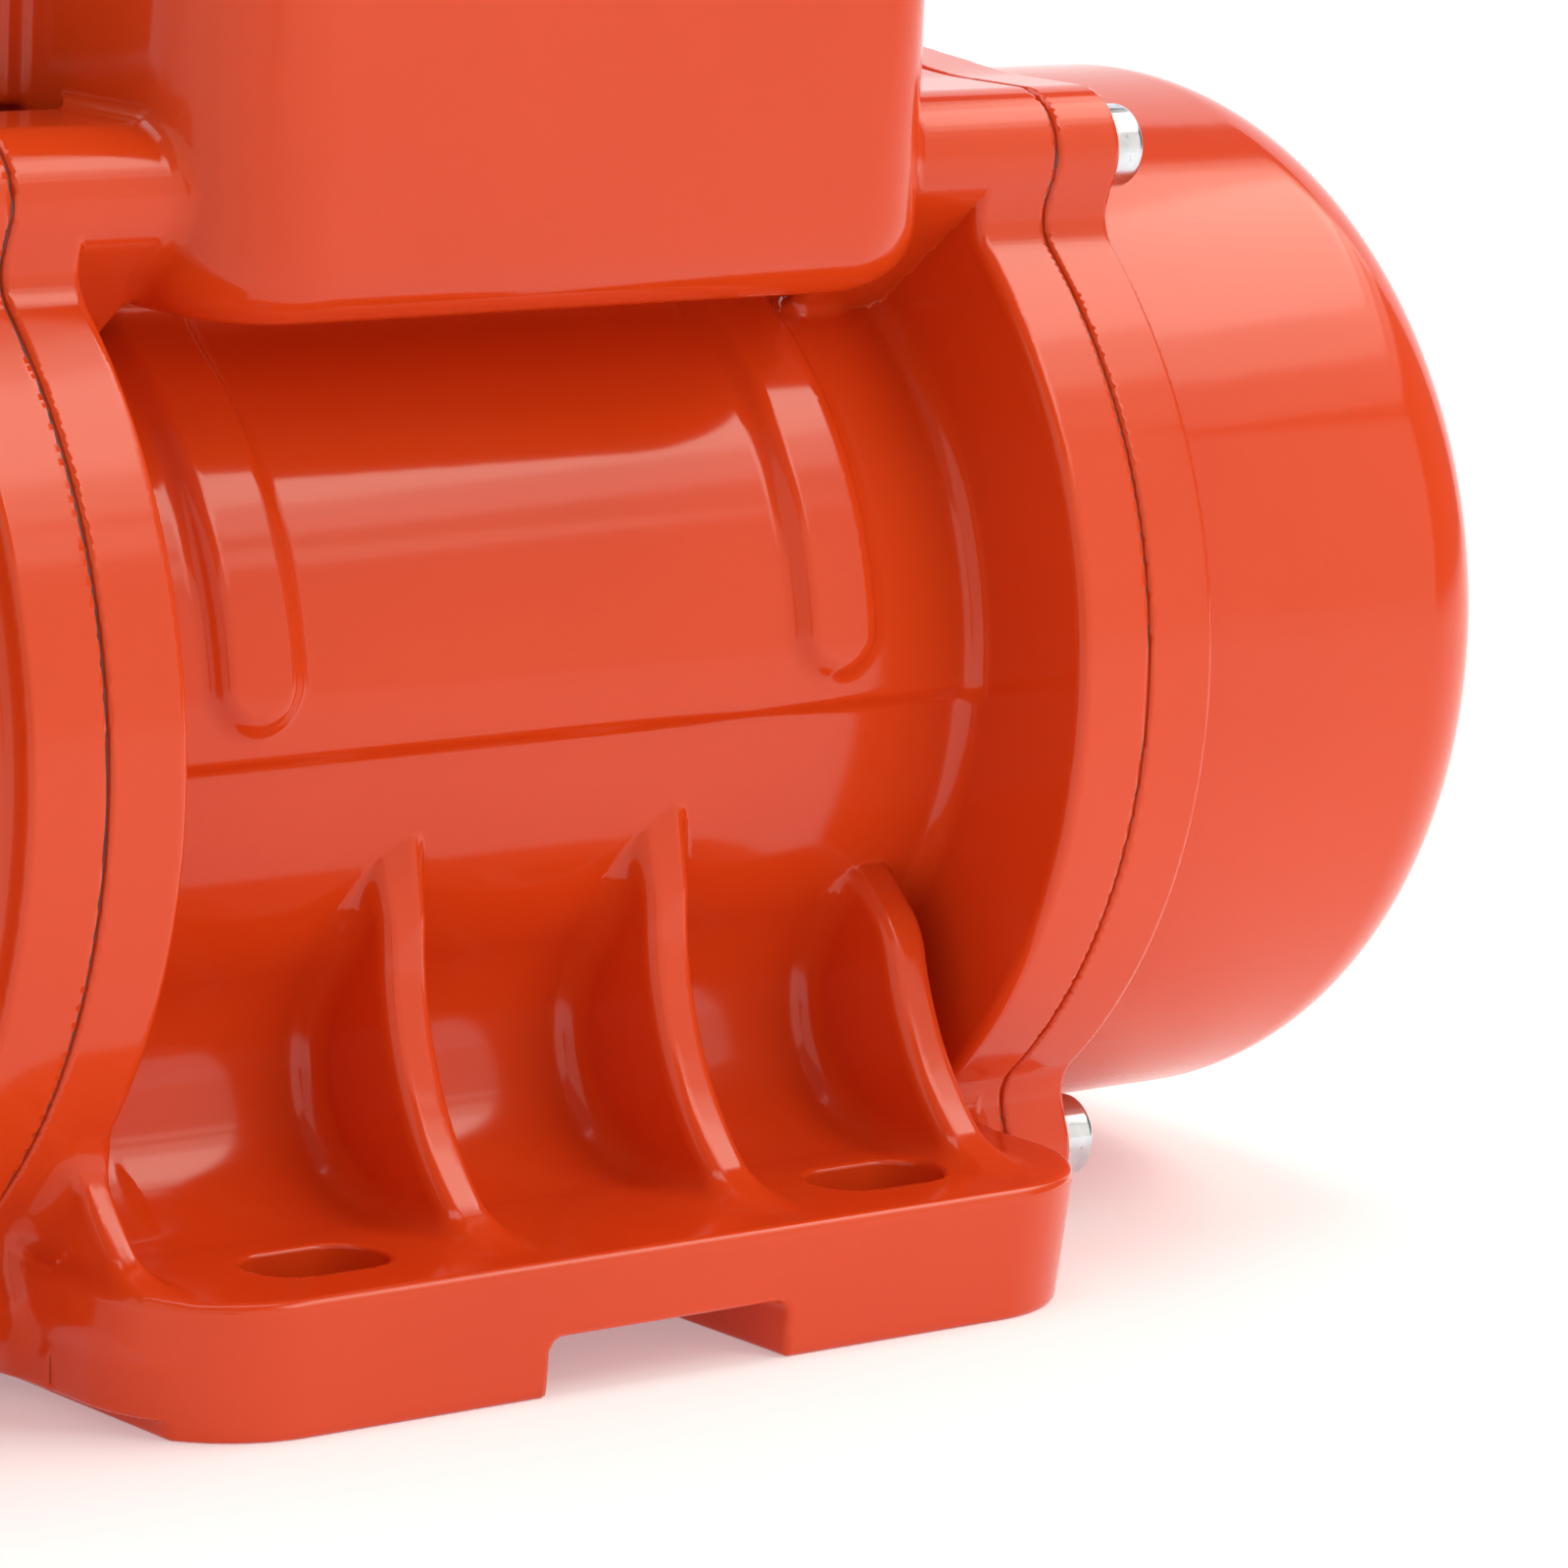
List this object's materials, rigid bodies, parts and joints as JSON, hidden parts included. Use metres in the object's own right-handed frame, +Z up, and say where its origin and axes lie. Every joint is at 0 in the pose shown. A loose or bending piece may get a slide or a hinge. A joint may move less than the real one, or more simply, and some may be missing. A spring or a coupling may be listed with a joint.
{
  "type": "vibration motor",
  "caption": "External vibration motor: ribbed cast casing on slotted feet, round cover at each end, terminal box on top, eccentric weights on both shaft ends.",
  "frame": {"origin": "on the mounting face, midway between the four foot slots", "axes": "+Z up off the mounting face, +X along the shaft away from the cable gland"},
  "size_m": [0.2334, 0.1298, 0.1596],
  "materials": {
    "coated_casting": "gloss orange powder coat on cast aluminium",
    "zinc_steel": "bright zinc plate",
    "black_rubber": "matte",
    "nickel_brass": "nickel plate on brass",
    "bare_brass": "bright",
    "moulded_block": "moulded thermoset",
    "lamination_steel": "stacked sheet edges",
    "enamelled_copper": "varnished winding",
    "cast_cage": "as cast",
    "grey_iron": "machined cast iron",
    "cage_brass": "pressed brass",
    "ground_steel": "ground steel"
  },
  "bodies": {
    "motor": {"bearing_outer_ring_left": "ground_steel", "bearing_outer_ring_right": "ground_steel", "bearing_retainer_left": "ground_steel", "bearing_retainer_right": "ground_steel", "bearing_shield_left": "grey_iron", "bearing_shield_right": "grey_iron", "block_screws": "zinc_steel", "cover_screws_left": "zinc_steel", "cover_screws_right": "zinc_steel", "cover_seal_left": "black_rubber", "cover_seal_right": "black_rubber", "earth_screw": "zinc_steel", "earth_washer": "zinc_steel", "end_cover_left": "coated_casting", "end_cover_right": "coated_casting", "gland_body": "nickel_brass", "gland_nut": "nickel_brass", "gland_ring": "black_rubber", "lid_gasket": "black_rubber", "lid_screws": "zinc_steel", "motor_casing": "coated_casting", "stator_core": "lamination_steel", "stator_winding": "enamelled_copper", "terminal_block": "moulded_block", "terminal_lid": "coated_casting", "terminal_links": "bare_brass", "terminal_nuts": "bare_brass", "terminal_studs": "bare_brass"},
    "rotor": {"rotor_shaft": "ground_steel", "rotor_core": "lamination_steel", "rotor_cage": "cast_cage", "bearing_inner_ring_left": "ground_steel", "bearing_inner_ring_right": "ground_steel", "spacer_left": "ground_steel", "spacer_right": "ground_steel", "weight_key_left": "ground_steel", "weight_key_right": "ground_steel", "fixed_weight_left": "grey_iron", "fixed_weight_right": "grey_iron", "shaft_ring_left": "ground_steel", "shaft_ring_right": "ground_steel"},
    "ball_set_left": {"bearing_balls_left": "ground_steel", "bearing_cage_left": "cage_brass"},
    "weight_setting_left": {"adjustable_weight_left": "grey_iron", "clamp_screw_left": "zinc_steel"},
    "ball_set_right": {"bearing_balls_right": "ground_steel", "bearing_cage_right": "cage_brass"},
    "weight_setting_right": {"adjustable_weight_right": "grey_iron", "clamp_screw_right": "zinc_steel"}
  },
  "joints": [
    {"name": "rotor_spin", "type": "hinge", "parent": "motor", "child": "rotor", "pos_m": [0, 0, 0.0605], "axis": [1, 0, 0], "continuous": true},
    {"name": "ball_set_spin_left", "type": "hinge", "parent": "motor", "child": "ball_set_left", "pos_m": [-0.056, 0, 0.0605], "axis": [1, 0, 0], "continuous": true},
    {"name": "weight_setting_left_turn", "type": "hinge", "parent": "rotor", "child": "weight_setting_left", "pos_m": [-0.0889, 0, 0.0605], "axis": [1, 0, 0], "continuous": true},
    {"name": "ball_set_spin_right", "type": "hinge", "parent": "motor", "child": "ball_set_right", "pos_m": [0.056, 0, 0.0605], "axis": [1, 0, 0], "continuous": true},
    {"name": "weight_setting_right_turn", "type": "hinge", "parent": "rotor", "child": "weight_setting_right", "pos_m": [0.0889, 0, 0.0605], "axis": [1, 0, 0], "continuous": true}
  ],
  "couplings": [
    {"joint": "ball_set_spin_left", "follows": "rotor_spin", "ratio": 0.382},
    {"joint": "ball_set_spin_right", "follows": "rotor_spin", "ratio": 0.382}
  ]
}
